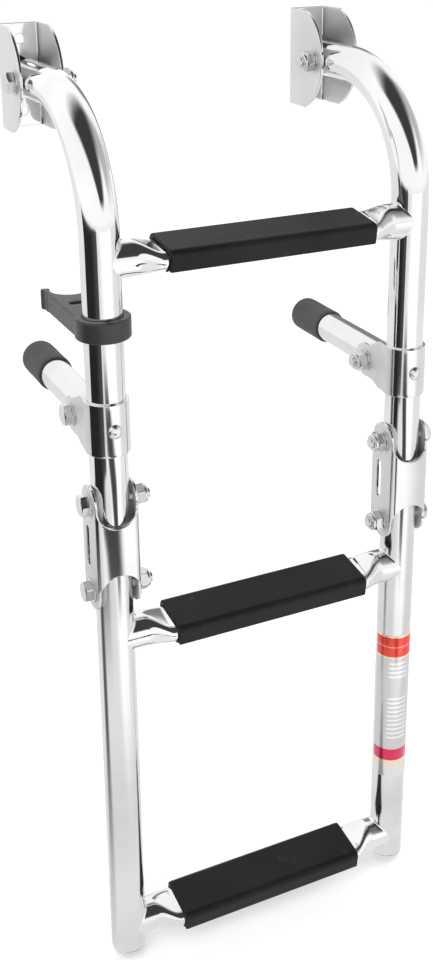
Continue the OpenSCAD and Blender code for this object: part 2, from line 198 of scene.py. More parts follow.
def plate(loops, t, e, fold, cuts=(), steps=3):
    """Plate of thickness t with rounded edges of radius e, cut to the loops, then folded.
    The first loop runs anticlockwise, the holes clockwise. fold maps a point (s, z, n) of the
    flat plate to its place, where n is the height above the middle of the sheet. The flat
    faces are split at each s in cuts, so that they can follow a bend."""
    rows = []
    for k in range(steps + 1):
        a = math.radians(90.0 * k / steps)
        rows.append((e * (1 - math.sin(a)), t / 2 - e * (1 - math.cos(a))))
    rows += [(o, -n) for o, n in reversed(rows)]
    bm = bmesh.new()
    tops, bottoms = [], []
    for loop in loops:
        rings = []
        for off, n in rows:
            rings.append([bm.verts.new((x, y, n)) for x, y in inset(loop, off)])
        for ra, rb in zip(rings, rings[1:]):
            for i in range(len(loop)):
                j = (i + 1) % len(loop)
                bm.faces.new((ra[i], ra[j], rb[j], rb[i]))
        tops.append(rings[0])
        bottoms.append(rings[-1])
    for caps in (tops, bottoms):
        flat = [v for ring in caps for v in ring]
        tris = tessellate_polygon([[Vector((v.co.x, v.co.y, 0)) for v in ring] for ring in caps])
        for tri in tris:
            try:
                bm.faces.new([flat[i] for i in tri])
            except ValueError:
                pass
    for c in cuts:
        bmesh.ops.bisect_plane(bm, geom=bm.verts[:] + bm.edges[:] + bm.faces[:],
                               plane_co=(c, 0, 0), plane_no=(1, 0, 0), dist=1e-5)
    bm.verts.index_update()
    out = Shape().add([fold(*v.co) for v in bm.verts],
                      [[v.index for v in f.verts] for f in bm.faces])
    bm.free()
    return out


def lathe(profile, seg=64, radius=None):
    """Turned shape about +X: profile rows are (x, r). radius(row, angle) may give the row's
    x and r at that angle instead."""
    verts = []
    for k, row in enumerate(profile):
        for i in range(seg):
            a = 2 * math.pi * i / seg
            x, r = radius(k, a) if radius else row
            verts.append((x, r * math.cos(a), r * math.sin(a)))
    rows = len(profile)
    caps = [list(range(seg)), [(rows - 1) * seg + i for i in reversed(range(seg))]]
    return Shape().add(verts, grid_faces(rows, seg) + caps)


def rounded(x0, x1, r, e, steps=3):
    """Profile rows of a disc from x0 to x1, its two edges rounded with radius e."""
    curve = [(e * (1 - math.cos(a)), r - e * (1 - math.sin(a)))
             for a in [math.radians(90.0 * k / steps) for k in range(steps + 1)]]
    return [(x0 + d, h) for d, h in curve] + [(x1 - d, h) for d, h in reversed(curve)]


def tube(path, r_out, r_in, seg=72, chamfer=0.3):
    """Tube swept along a list of frames (centre, u, v, direction), open at both ends."""
    first, last = path[0], path[-1]

    def ring(at, r, shift=0.0):
        c, u, v, d = at
        turns = [2 * math.pi * i / seg for i in range(seg)]
        return [tuple(c + d * shift + u * (r * math.cos(a)) + v * (r * math.sin(a)))
                for a in turns]
    rings = [ring(first, r_out - chamfer), ring(first, r_out, chamfer)]
    rings += [ring(f, r_out) for f in path[1:-1]]
    rings += [ring(last, r_out, -chamfer), ring(last, r_out - chamfer),
              ring(last, r_in + chamfer), ring(last, r_in, -chamfer)]
    rings += [ring(f, r_in) for f in reversed(path[1:-1])]
    rings += [ring(first, r_in, chamfer), ring(first, r_in + chamfer)]
    return Shape().add([p for r in rings for p in r], grid_faces(len(rings), seg, closed=True))


def straight(a, b, u, v, n):
    """n + 1 frames of a tube from a to b, with u and v across it."""
    a, b = Vector(a), Vector(b)
    d = (b - a).normalized()
    return [(a.lerp(b, i / n), Vector(u), Vector(v), d) for i in range(n + 1)]


# ---------- materials ----------
def nodes_of(name):
    """A new material, its node tree and its shader."""
    mat = bpy.data.materials.new(name)
    mat.use_nodes = True
    tree = mat.node_tree
    return mat, tree, tree.nodes["Principled BSDF"]


def node(tree, kind, **inputs):
    """A new node with its properties or input sockets set by name."""
    n = tree.nodes.new(kind)
    for k, v in inputs.items():
        if hasattr(n, k):
            setattr(n, k, v)
        else:
            n.inputs[k.replace("_", " ")].default_value = v
    return n


def noise_tex(tree, scale, stretch=(1, 1, 1), detail=4.0, rough=0.55, rotate=(0, 0, 0)):
    """Noise that stays fixed to the piece."""
    coord = node(tree, "ShaderNodeTexCoord")
    mapping = node(tree, "ShaderNodeMapping")
    mapping.inputs["Scale"].default_value = stretch
    mapping.inputs["Rotation"].default_value = rotate
    tex = node(tree, "ShaderNodeTexNoise", Scale=scale, Detail=detail, Roughness=rough)
    tree.links.new(coord.outputs["Object"], mapping.inputs["Vector"])
    tree.links.new(mapping.outputs["Vector"], tex.inputs["Vector"])
    return tex.outputs["Fac"]


def remap(tree, value, lo, hi, to_lo, to_hi):
    """The range lo to hi stretched to to_lo to to_hi, clamped at both ends."""
    m = node(tree, "ShaderNodeMapRange")
    for k, v in (("From Min", lo), ("From Max", hi), ("To Min", to_lo), ("To Max", to_hi)):
        m.inputs[k].default_value = v
    tree.links.new(value, m.inputs["Value"])
    return m.outputs["Result"]


def mix(tree, fac, a, b):
    """Colour between a and b, each of which is a tuple or a socket."""
    m = tree.nodes.new("ShaderNodeMix")
    m.data_type = "RGBA"
    tree.links.new(fac, m.inputs[0])
    for sock, c in ((m.inputs[6], a), (m.inputs[7], b)):
        if isinstance(c, tuple):
            sock.default_value = (*c, 1)
        else:
            tree.links.new(c, sock)
    return m.outputs[2]


def maths(tree, op, a, b):
    """One sum on two values, each of which is a number or a socket."""
    m = node(tree, "ShaderNodeMath", operation=op)
    for i, x in enumerate((a, b)):
        if isinstance(x, (int, float)):
            m.inputs[i].default_value = x
        else:
            tree.links.new(x, m.inputs[i])
    return m.outputs[0]


def bump(tree, height, distance, strength, normal=None):
    """Surface relief, distance in metres, on top of an earlier normal if one is given."""
    b = node(tree, "ShaderNodeBump", Strength=strength, Distance=distance)
    tree.links.new(height, b.inputs["Height"])
    if normal is not None:
        tree.links.new(normal, b.inputs["Normal"])
    return b.outputs["Normal"]


WORN_STEEL, DUST = (0.62, 0.61, 0.60), (0.30, 0.30, 0.30)
HAIR_DEPTH = 0.00001  # metres, of polishing lines and scratches


def metal(name, colour, rough, smudge=0.05, grain=(1, 1, 12), grain_scale=60,
          bump_strength=0.25, cheek_rough=0.0):
    """Stainless steel: polishing lines along one direction, faint smudges and scratches.
    cheek_rough makes the faces that look along X, which are the flat cheeks, duller."""
    mat, tree, shader = nodes_of(name)
    cloud = noise_tex(tree, 14, detail=5)
    lines = noise_tex(tree, grain_scale, stretch=grain, detail=6, rough=0.7)
    scratch = noise_tex(tree, 220, stretch=(1, 1, 0.06), detail=2, rotate=(0.5, 0.4, 0.2))
    marks = remap(tree, scratch, 0.68, 0.74, 0.0, 1.0)
    tint = mix(tree, remap(tree, cloud, 0.42, 0.72, 0.0, 0.5), colour, WORN_STEEL)
    shader.inputs["Metallic"].default_value = 1.0
    tree.links.new(tint, shader.inputs["Base Color"])
    r = maths(tree, "ADD", remap(tree, cloud, 0.35, 0.7, rough, rough + smudge),
              remap(tree, lines, 0.3, 0.7, 0.0, smudge))
    r = maths(tree, "ADD", r, maths(tree, "MULTIPLY", marks, 0.08))
    if cheek_rough:
        split = node(tree, "ShaderNodeSeparateXYZ")
        tree.links.new(node(tree, "ShaderNodeTexCoord").outputs["Normal"], split.inputs[0])
        facing = maths(tree, "ABSOLUTE", split.outputs[0], 0)
        r = maths(tree, "ADD", r, remap(tree, facing, 0.90, 0.99, 0.0, cheek_rough))
    tree.links.new(r, shader.inputs["Roughness"])
    n = bump(tree, lines, HAIR_DEPTH, bump_strength)
    tree.links.new(bump(tree, marks, HAIR_DEPTH, 0.15, n), shader.inputs["Normal"])
    return mat


def plastic(name, colour, lighter, rough, grain_scale, grain_depth, spec=0.5):
    """Moulded plastic or rubber: fine grain, faint colour drift and a little dust."""
    mat, tree, shader = nodes_of(name)
    cloud = noise_tex(tree, 22, detail=5)
    grain = noise_tex(tree, grain_scale, detail=3, rough=0.6)
    tint = mix(tree, remap(tree, cloud, 0.35, 0.7, 0.0, 1.0), colour, lighter)
    tint = mix(tree, remap(tree, noise_tex(tree, 90, detail=6), 0.62, 0.85, 0.0, 0.05), tint, DUST)
    tree.links.new(tint, shader.inputs["Base Color"])
    shader.inputs["Specular IOR Level"].default_value = spec
    tree.links.new(remap(tree, grain, 0.3, 0.7, rough - 0.08, rough + 0.08),
                   shader.inputs["Roughness"])
    tree.links.new(bump(tree, grain, grain_depth, 0.6), shader.inputs["Normal"])
    return mat


MIRROR = metal("steel_mirror", (0.92, 0.92, 0.925), 0.035, smudge=0.02, grain=(1, 1, 14),
               bump_strength=0.10)
SATIN = metal("steel_satin", (0.84, 0.84, 0.845), 0.09, smudge=0.04, grain=(1, 1, 16),
              bump_strength=0.3)
SHEET_STEEL = metal("steel_sheet", (0.82, 0.82, 0.825), 0.06, smudge=0.03, grain=(6, 1, 1),
                    bump_strength=0.2, cheek_rough=0.42)
BOLT_STEEL = metal("steel_bolt", (0.74, 0.74, 0.745), 0.16, smudge=0.06, grain=(1, 1, 1),
                   grain_scale=300, bump_strength=0.3)
TREAD = plastic("tread_plastic", (0.005, 0.005, 0.0053), (0.009, 0.009, 0.0095), 0.45, 900,
                0.00006, spec=0.22)
RUBBER = plastic("cap_rubber", (0.052, 0.052, 0.054), (0.078, 0.078, 0.08), 0.6, 700, 0.00005,
                 spec=0.3)
CLIP = plastic("clip_plastic", (0.018, 0.018, 0.0185), (0.028, 0.028, 0.029), 0.36, 800, 0.00003)
PLUG = plastic("plug_plastic", (0.03, 0.03, 0.031), (0.045, 0.045, 0.046), 0.5, 700, 0.00003)
NYLON = plastic("nut_nylon", (0.55, 0.56, 0.58), (0.65, 0.66, 0.68), 0.45, 700, 0.00002)


FILM, BARE = (0.60, 0.60, 0.60), (0.76, 0.76, 0.765)
HAIRLINE, CREAM = (0.86, 0.86, 0.85), (0.85, 0.74, 0.55)
RED, PALE_RED, CRIMSON = (0.80, 0.07, 0.05), (0.85, 0.30, 0.22), (0.70, 0.025, 0.10)
# all in mm: bands are from, to (below the top of the decal) and colour, each painted over the
# ones before; the hairlines fill two blocks, and end short of the film's left and right edges
BANDS = [(-1, 1.6, CREAM), (1.6, 18.0, RED), (9.0, 10.2, PALE_RED), (18.0, 19.6, CREAM),
         (100, 110, CRIMSON), (110, 115, CREAM), (115, 140, BARE)]
HAIRLINE_BLOCKS, HAIRLINE_X = ((22, 37), (52, 92)), (RAIL_X - 9, RAIL_X + 5)
HAIRLINES_PER_MM, HAIRLINE_SHARE = 0.26, 0.4


def decal_material():
    """Plain printed film: coloured bands and plain hairlines across it, no lettering."""
    mat, tree, shader = nodes_of("decal_film")
    lo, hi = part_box("decal")
    split = node(tree, "ShaderNodeSeparateXYZ")
    tree.links.new(node(tree, "ShaderNodeTexCoord").outputs["Object"], split.inputs[0])
    down = remap(tree, split.outputs[2], hi.z, lo.z, 0.0, (hi.z - lo.z) / MM)

    def within(value, a, b):
        return maths(tree, "MULTIPLY", maths(tree, "GREATER_THAN", value, a),
                     maths(tree, "LESS_THAN", value, b))
    phase = maths(tree, "FRACT", maths(tree, "MULTIPLY", down, HAIRLINES_PER_MM), 0)
    lines = maths(tree, "LESS_THAN", phase, HAIRLINE_SHARE)
    rows = maths(tree, "ADD", *[within(down, a, b) for a, b in HAIRLINE_BLOCKS])
    middle = within(split.outputs[0], HAIRLINE_X[0] * MM, HAIRLINE_X[1] * MM)
    lines = maths(tree, "MULTIPLY", maths(tree, "MULTIPLY", lines, rows), middle)
    colour = mix(tree, lines, FILM, HAIRLINE)
    for top, bottom, paint in BANDS:
        colour = mix(tree, within(down, top, bottom), colour, paint)
    wear = remap(tree, noise_tex(tree, 160, detail=6), 0.6, 0.8, 0.0, 0.35)
    tree.links.new(mix(tree, wear, colour, FILM), shader.inputs["Base Color"])
    tree.links.new(remap(tree, noise_tex(tree, 60), 0.3, 0.7, 0.16, 0.26),
                   shader.inputs["Roughness"])
    tree.links.new(bump(tree, noise_tex(tree, 400, detail=2), 0.00003, 0.3),
                   shader.inputs["Normal"])
    shader.inputs["Metallic"].default_value = 0.7
    shader.inputs["Coat Weight"].default_value = 0.4
    shader.inputs["Coat Roughness"].default_value = 0.1
    return mat


DECAL = decal_material()

# ---------- rails ----------
AXIS_X, AXIS_Y, AXIS_Z = (1, 0, 0), (0, 1, 0), (0, 0, 1)
BEND_STEPS = 48


def swan_path():
    """Frames along an upper rail: out of the bracket, a quarter bend, and straight down."""
    bend_y = RAIL_Y + BEND_R
    path = straight((RAIL_X, LEG_END_Y, 0), (RAIL_X, bend_y, 0), AXIS_X, AXIS_Z, 6)
    for i in range(1, BEND_STEPS + 1):
        a = math.radians(90 * i / BEND_STEPS)
        centre = (RAIL_X, bend_y - BEND_R * math.sin(a), -BEND_R + BEND_R * math.cos(a))
        path.append((Vector(centre), Vector(AXIS_X), Vector((0, -math.sin(a), math.cos(a))),
                     Vector((0, -math.cos(a), -math.sin(a)))))
    down = straight((RAIL_X, RAIL_Y, -BEND_R), (RAIL_X, RAIL_Y, UPPER_END_Z), AXIS_X,
                    (0, -1, 0), 10)
    return path + down[1:]


upper = tube(swan_path(), RAIL_R, RAIL_R - WALL)
lower = tube(straight((RAIL_X, RAIL_Y, LOWER_END_Z), (RAIL_X, RAIL_Y, LOWER_TOP_Z), AXIS_X,
                      AXIS_Y, 10), RAIL_R, RAIL_R - WALL)
for side, place in SIDES:
    make("rail_upper_tube_" + side, Shape().join(upper, place), "upper_section",
         [MIRROR], ["rail_upper_" + side], weighted=False)
    make("rail_lower_tube_" + side, Shape().join(lower, place), "lower_section",
         [SATIN], ["rail_lower_" + side], weighted=False)


def foot_plug():
    """Plug with a domed end, and a fine seam where it enters the tube. It hangs down."""
    spigot_r, dome_r = RAIL_R - WALL - 0.05, 7.9
    rows = [(-9.0, spigot_r), (0.0, spigot_r), (0.0, RAIL_R - 0.25)]
    rows += [(0.15 + 7.8 * math.sin(math.radians(a)),
              RAIL_R - dome_r + dome_r * math.cos(math.radians(a)) - 0.05)
             for a in range(0, 91, 6)]
    return Shape().join(lathe(rows, 72),
                        lambda v: (RAIL_X + v[1], RAIL_Y - v[2], LOWER_END_Z - v[0]))


def leg_plug():
    """Recessed plug in the open hull end of an upper rail, which looks along +Y."""
    rows = [(-8, 9.6), (-7.4, RAIL_R - WALL), (0, RAIL_R - WALL)]
    rows += rounded(GAP, 2.0, RAIL_R - 0.55, 0.5) + [(1.7, 8.0), (1.6, 3.0)]
    return Shape().join(lathe(rows, 64), lambda v: (RAIL_X + v[2], LEG_END_Y + v[0], v[1]))


make("foot_plug_pair", both_sides(foot_plug()), "lower_section", [SATIN],
     ["foot_plugs"])
make("leg_plug_pair", both_sides(leg_plug()), "upper_section", [PLUG],
     ["leg_plugs"])

# ---------- rungs ----------
RUNG_R, FLAT_W, FLAT_T, FORWARD, TILT = 12.0, 31.0, 12.0, 2.5, math.radians(8)
ROUND_X, FLAT_X = 90.0, 77.0  # where the rung is round again, and where its flat ends
FLAT_SIDE = (FLAT_W - FLAT_T) / 2
WELD, WELD_GROWTH, WELD_SINK = 2.2, 0.14, 0.25


def rung_point(x, t, a):
    """Point at angle a on a rung: t 0 is the flattened middle, t 1 the round end."""
    ht = FLAT_T / 2
    fy = math.copysign(FLAT_SIDE, math.cos(a)) + ht * math.cos(a)
    fz = ht * math.sin(a)
    y = (1 - t) * (fy * math.cos(TILT) - fz * math.sin(TILT) - FORWARD) + t * RUNG_R * math.cos(a)
    z = (1 - t) * (fy * math.sin(TILT) + fz * math.cos(TILT)) + t * RUNG_R * math.sin(a)
    return (x, y, z)


def rung_shape():
    """Tube pressed flat in the middle, its ends cut to the rails with a small welded flare."""
    n, blend, flare = 72, 16, 6
    stations = [(0.0, 0.0), (FLAT_X - 9, 0.0)]
    for i in range(blend + 1):
        k = i / blend
        stations.append((FLAT_X - 3 + (ROUND_X - FLAT_X + 5) * k, k * k * (3 - 2 * k)))
    half = [[rung_point(x, t, (i + 0.5) * 2 * math.pi / n) for i in range(n)]
            for x, t in stations]
    start = half[-1]
    end = [(RAIL_X - math.sqrt(max(0.0, RAIL_R ** 2 - y * y)) + WELD_SINK, y, z)
           for x, y, z in start]
    half.append([(p[0] * 0.5 + (q[0] - WELD) * 0.5, p[1], p[2]) for p, q in zip(start, end)])
    for k in range(flare + 1):
        t = k / flare
        grow = 1 + WELD_GROWTH * (1 - math.sqrt(1 - t * t * 0.98))
        half.append([(q[0] - WELD * (1 - t), q[1], q[2] * grow) for q in end])
    rings = [[mirrored(p) for p in r] for r in reversed(half[1:])] + half
    caps = [list(range(n)), [(len(rings) - 1) * n + i for i in range(n)]]
    return Shape().add([p for r in rings for p in r], grid_faces(len(rings), n) + caps)


# ---------- tread covers ----------
TREAD_W, TREAD_H, TREAD_L, TOP_R, SLOT_W = 35.5, 14.0, 145.0, 4.5, 23.0
RUNG_PLAY, TREAD_WALL = 0.1, 2.3
TREAD_UP = FLAT_T / 2 + RUNG_PLAY + TREAD_WALL


def tread_loop():
    """Cross-section of a cover: a C that is open below and grips the flattened rung."""
    hw, top, low = TREAD_W / 2, TREAD_UP, TREAD_UP - TREAD_H
    foot_r, lip_r, grip_r = 1.0, 0.6, FLAT_T / 2 + RUNG_PLAY
    pts = arc(SLOT_W / 2 + lip_r, low + lip_r, lip_r, 180, 270, 4)
    pts += arc(hw - foot_r, low + foot_r, foot_r, -90, 0, 6)
    pts += arc(hw - TOP_R, top - TOP_R, TOP_R, 0, 90, 16)
    pts += arc(-hw + TOP_R, top - TOP_R, TOP_R, 90, 180, 16)
    pts += arc(-hw + foot_r, low + foot_r, foot_r, 180, 270, 6)
    pts += arc(-SLOT_W / 2 - lip_r, low + lip_r, lip_r, -90, 0, 4)
    a = math.degrees(math.acos(max(-1, min(1, (SLOT_W / 2 - FLAT_SIDE) / grip_r))))
    pts += arc(-FLAT_SIDE, 0, grip_r, -180 + a, -270, 18)
    pts += arc(FLAT_SIDE, 0, grip_r, 90, -a, 18)
    return pts


def tread_shape():
    """The cover's section drawn out along X, tilted like the rung inside it."""
    c, s = math.cos(TILT), math.sin(TILT)
    return plate([tread_loop()], TREAD_L, 1.3,
                 lambda y, z, n: (n, y * c - z * s - FORWARD, y * s + z * c), steps=4)


rung, cover = rung_shape(), tread_shape()
for level, body in (("top", "upper_section"), ("middle", "lower_section"),
                    ("bottom", "lower_section")):
    lo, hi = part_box("rung_" + level)
    mid = (lo.z + hi.z) / 2 / MM

    def at_level(v, z=mid):
        return (v[0], v[1] + RAIL_Y, v[2] + z)
    make("rung_tube_" + level, Shape().join(rung, at_level), body, [MIRROR],
         ["rung_" + level], weighted=False)
    make("tread_cover_" + level, Shape().join(cover, at_level), body, [TREAD],
         ["tread_" + level])

# ---------- folded sheet parts ----------
# s runs along the flat pattern from the middle of the web; z is the height
FLAT_HALF = CHEEK_OUT - FOLD_R    # s where a fold begins
MID_R = FOLD_R - SHEET / 2        # its radius in the middle of the sheet
ARC_LEN = math.pi / 2 * MID_R
S_CHEEK = FLAT_HALF + ARC_LEN     # s where the flat cheek begins


def u_fold(web_mid, direction, cy=0.0):
    """Folds a flat pattern into a U: web at y = web_mid, cheeks running towards direction."""
    def fold(s, z, n):
        sign, a = (1 if s >= 0 else -1), abs(s)
        if a <= FLAT_HALF:
            x, y, nx, ny = a, web_mid, 0.0, -direction
        elif a <= S_CHEEK:
            th = (a - FLAT_HALF) / MID_R
            x = FLAT_HALF + MID_R * math.sin(th)
            y = web_mid + direction * MID_R * (1 - math.cos(th))
            nx, ny = math.sin(th), -direction * math.cos(th)
        else:
            x, y, nx, ny = CHEEK_MID, web_mid + direction * (MID_R + a - S_CHEEK), 1.0, 0.0
        return (RAIL_X + sign * (x + n * nx), cy + y + n * ny, z)
    return fold


bend_cuts = [m * (FLAT_HALF + ARC_LEN * i / 6) for m in (-1, 1) for i in range(7)] + [0.0]


def bracket_shape():
    """Hull bracket: a web with two screw holes and two D-shaped cheeks for the pivot bolt."""
    lo, hi = box_mm("bracket_right")
    half_h, depth = (hi.z - lo.z) / 2, hi.y - lo.y
    screw_z, screw_r = 24.0, 3.3
    r = half_h + 2
    sc = S_CHEEK + (depth - r) - FOLD_R
    top = math.degrees(math.asin(half_h / r))
    outer = arc(sc, 0, r, -top, top, 48) + arc(-sc, 0, r, 180 - top, 180 + top, 48)
    pin = S_CHEEK + (-PIVOT[1] - FOLD_R)
    holes = [circle(m * pin, 0, BOLT_R + 0.05) for m in (-1, 1)]
    holes += [circle(0, m * screw_z, screw_r) for m in (-1, 1)]
    return plate([outer] + holes, SHEET, SHEET_EDGE, u_fold(-SHEET / 2, -1), bend_cuts)


bracket = bracket_shape()
for side, place in SIDES:
    make("bracket_plate_" + side, Shape().join(bracket, place), "brackets",
         [SHEET_STEEL], ["bracket_" + side])


WEB_BOW, BOW_FADE = 60.0, 9.0  # radius of the slight bow, and the depth over which it fades
RAIL_PLAY = 0.5                # between a link's web and the rail


def link_shape():
    """Hinge link: a web in front of the rail, notched at both ends, and two cheeks with ears
    for the bolts and a slot between them."""
    ear, notch = 13.0, 14.0
    slot_in, slot_half, slot_r = 4.0, 12.0, 2.5
    sp = S_CHEEK + (RAIL_R + RAIL_PLAY + SHEET) - FOLD_R
    meet = math.degrees(math.acos(13.5 / notch))
    shoulder = (sp + ear + 0.3, HINGE_Z - 2.5)
    top = [shoulder] + arc(sp, HINGE_Z, ear, 0, 188, 40)
    top += arc(0, HINGE_Z, notch, -meet, -180 + meet, 32)
    top += arc(-sp, HINGE_Z, ear, -8, 180, 40) + [(-shoulder[0], shoulder[1])]
    mid = HINGE_Z + LOWER_HINGE_Z
    loops = [top + [(s, mid - z) for s, z in reversed(top)]]
    for m in (-1, 1):
        loops += [circle(m * sp, z, BOLT_R) for z in (HINGE_Z, LOWER_HINGE_Z)]
        cs = m * (sp + slot_in)
        slot = arc(cs, mid / 2 + slot_half, slot_r, 0, 180, 14)
        slot += arc(cs, mid / 2 - slot_half, slot_r, 180, 360, 14)
        loops.append(slot[::-1])
    bent = u_fold(-RAIL_R - RAIL_PLAY - SHEET / 2, 1, RAIL_Y)
    front = RAIL_Y - RAIL_R - RAIL_PLAY - SHEET

    def bowed(s, z, n):
        """The web is pressed slightly convex, which fades out round the corners."""
        x, y, z = bent(s, z, n)
        weight = max(0.0, 1.0 - (y - front) / BOW_FADE)
        return (x, y + weight * (x - RAIL_X) ** 2 / (2 * WEB_BOW), z)
    cuts = bend_cuts + [m * FLAT_HALF * k / 8 for m in (-1, 1) for k in range(1, 8)]
    return plate(loops, SHEET, SHEET_EDGE, bowed, cuts)


link = link_shape()
for side, place in SIDES:
    make("hinge_link_plate_" + side, Shape().join(link, place), "hinge_links",
         [SHEET_STEEL], ["hinge_link_" + side])

# collar band: half_path wraps half the rail, eases out and runs back as an ear for the arm bolt
EAR_X, EAR_END = 12.4, 60.0
band_r = RAIL_R + SHEET / 2
half_path = [(band_r * math.sin(math.radians(a)), -band_r * math.cos(math.radians(a)))
             for a in range(0, 101, 4)]
half_path += [(12.95, 4.6), (12.62, 6.8), (12.45, 8.6), (EAR_X, 10.6), (EAR_X, EAR_END)]
lengths = [0.0]
for p, q in zip(half_path, half_path[1:]):
    lengths.append(lengths[-1] + math.dist(p, q))


def s_at(y):
    """Length along the collar's flat pattern where its ear passes y."""
    return lengths[-1] - (EAR_END - y)


def path_normal(i):
    """Outward direction of the collar's path at its point i."""
    if i == 0:
        return Vector((0, -1))
    if i == len(half_path) - 1:
        return Vector((1, 0))
    d = (Vector(half_path[i + 1]) - Vector(half_path[i - 1])).normalized()
    return Vector((d.y, -d.x))


def collar_fold(s, z, n):
    """Wraps the collar's flat pattern round the rail, along half_path on both sides."""
    sign, a = (1 if s >= 0 else -1), abs(s)
    k = next((i for i, far in enumerate(lengths[1:-1]) if a <= far), len(lengths) - 2)
    t = (a - lengths[k]) / (lengths[k + 1] - lengths[k])
    p, q = half_path[k], half_path[k + 1]
    nrm = path_normal(k).lerp(path_normal(k + 1), t).normalized()
    x, y = p[0] + (q[0] - p[0]) * t, p[1] + (q[1] - p[1]) * t
    return (RAIL_X + sign * (x + n * nrm.x), RAIL_Y + y + n * nrm.y, z)


def collar_shape():
    """Stand-off collar: a band with rounded ears, and a hole in front for its screw."""
    lo, hi = box_mm("collar_right")
    mid, hh = (lo.z + hi.z) / 2, (hi.z - lo.z) / 2
    bolt_y, bolt_z, r, screw_r = ARM_PIVOT[1] - RAIL_Y, ARM_PIVOT[2], 12.0, 2.5
    ear = [(s_at(11.5), mid - hh), (s_at(20.0), bolt_z - r)]
    ear += arc(s_at(bolt_y), bolt_z, r, -90, 90, 32)
    ear += [(s_at(26.0), bolt_z + r), (s_at(11.5), mid + hh)]
    outer = ear + [(-s, z) for s, z in reversed(ear)]
    holes = [circle(m * s_at(bolt_y), bolt_z, BOLT_R) for m in (-1, 1)]
    holes.append(circle(0, mid, screw_r))
    cuts = [m * s for m in (-1, 1) for s in lengths[1:-1]] + [0.0]
    return plate([outer] + holes, SHEET, SHEET_EDGE, collar_fold, cuts)


collar = collar_shape()
for side, place in SIDES:
    make("collar_band_" + side, Shape().join(collar, place), "upper_section",
         [SHEET_STEEL], ["collar_" + side])

# ---------- fasteners ----------
FLATS, CHAMFER_R = 6.5, 6.15     # half the width across flats, and of the chamfered face
WASHER_R, WASHER_T = 8.0, 1.2
HEAD_H, NUT_H, NYLON_H, TIP = 5.3, 8.0, 2.0, 2.2
THREAD_R, THREAD_DEPTH, PITCH = 3.98, 0.5, 1.25


def hex_shape(x0, x1, turn, low_chamfer=False):
    """Hexagon along +X with the curved edges that a turned chamfer leaves."""
    def radius(k, a):
        r = FLATS / math.cos((a + turn) % (math.pi / 3) - math.pi / 6)
        drop = (r - CHAMFER_R) * math.tan(math.radians(30))
        return [(x0, CHAMFER_R), (x0 + (drop if low_chamfer else 0.02), r), (x1 - drop, r),
                (x1, CHAMFER_R), (x1 - 0.05, CHAMFER_R - 0.5)][k]
    return lathe([(0, 0)] * 5, 96, radius)


def thread_rows(x0, x1):
    """Profile rows of a threaded shank from x0 to its bevelled end at x1."""
    root = THREAD_R - THREAD_DEPTH
    rows, x = [], x0
    while x + PITCH <= x1 - 0.3:
        rows += [(x, root), (x + PITCH * 0.42, THREAD_R), (x + PITCH * 0.58, THREAD_R)]
        x += PITCH
    return rows + [(x, root), (x1 - 0.25, root), (x1, root - 0.6)]


def washer_shape(half):
    """Washer on +X against a cheek whose outer face is half from the middle."""
    return lathe(rounded(half + GAP, half + WASHER_T, WASHER_R, 0.25), 64)


def bolt_shape(half, turn):
    """Bolt through two cheeks: head and washer on +X, threaded tip on -X."""
    seat = half + WASHER_T
    out = washer_shape(half).join(hex_shape(seat, seat + HEAD_H, turn))
    rows = [(-x, r) for x, r in reversed(thread_rows(seat, seat + NUT_H + TIP))]
    return out.join(lathe(rows + [(-half, BOLT_R), (seat, BOLT_R)], 48))


def nut_shape(half, turn):
    """Washer and lock nut on -X: a hexagon, a turned collar and the nylon ring inside it."""
    seat, end = half + WASHER_T, half + WASHER_T + NUT_H
    top, roll = end - NYLON_H, 1.0
    ring = [(top - 0.6, 6.1), (top + 0.3, 6.1)]
    ring += [(end - roll + roll * math.sin(math.radians(k)),
              5.1 + roll * math.cos(math.radians(k))) for k in range(0, 91, 15)]
    ring += [(end - 0.25, 4.9), (end - 0.3, 4.3)]
    nylon = [(end - 0.5, 4.05), (end - 0.22, 4.1), (end - 0.18, 4.6), (end - 0.3, 4.95)]
    out = Shape().join(washer_shape(half), mirrored)
    out.join(hex_shape(seat, top, turn, low_chamfer=True), mirrored)
    return out.join(lathe(ring, 64), mirrored).join(lathe(nylon, 48), mirrored, 1)


def fasteners(name, nodes, shape_of, half, spots, body, start):
    """One piece of all the bolts or nuts of a kind, each turned a little differently."""
    out = Shape()
    for k, (x, y, z) in enumerate(spots):
        s = 1 if x > 0 else -1
        out.join(shape_of(half, start + 0.37 * k),
                 lambda v, s=s, x=x, y=y, z=z: (x + s * v[0], y + v[1], z + v[2]))
    make(name, out, body, [BOLT_STEEL, NYLON], nodes, angle=28)


bracket_spots = [(m * RAIL_X, PIVOT[1], PIVOT[2]) for m in (-1, 1)]
hinge_spots = [(m * RAIL_X, RAIL_Y, z) for m in (-1, 1) for z in (HINGE_Z, LOWER_HINGE_Z)]
collar_spots = [(m * RAIL_X, ARM_PIVOT[1], ARM_PIVOT[2]) for m in (-1, 1)]
for key, half, spots, body in (("bracket", CHEEK_OUT, bracket_spots, "brackets"),
                               ("hinge", CHEEK_OUT, hinge_spots, "hinge_links"),
                               ("collar", EAR_X + SHEET / 2, collar_spots, "upper_section")):
    fasteners(key + "_bolt_set", [key + "_bolts"], bolt_shape, half, spots, body, 0.2)
    fasteners(key + "_nut_set", [key + "_nuts"], nut_shape, half, spots, body, 0.5)


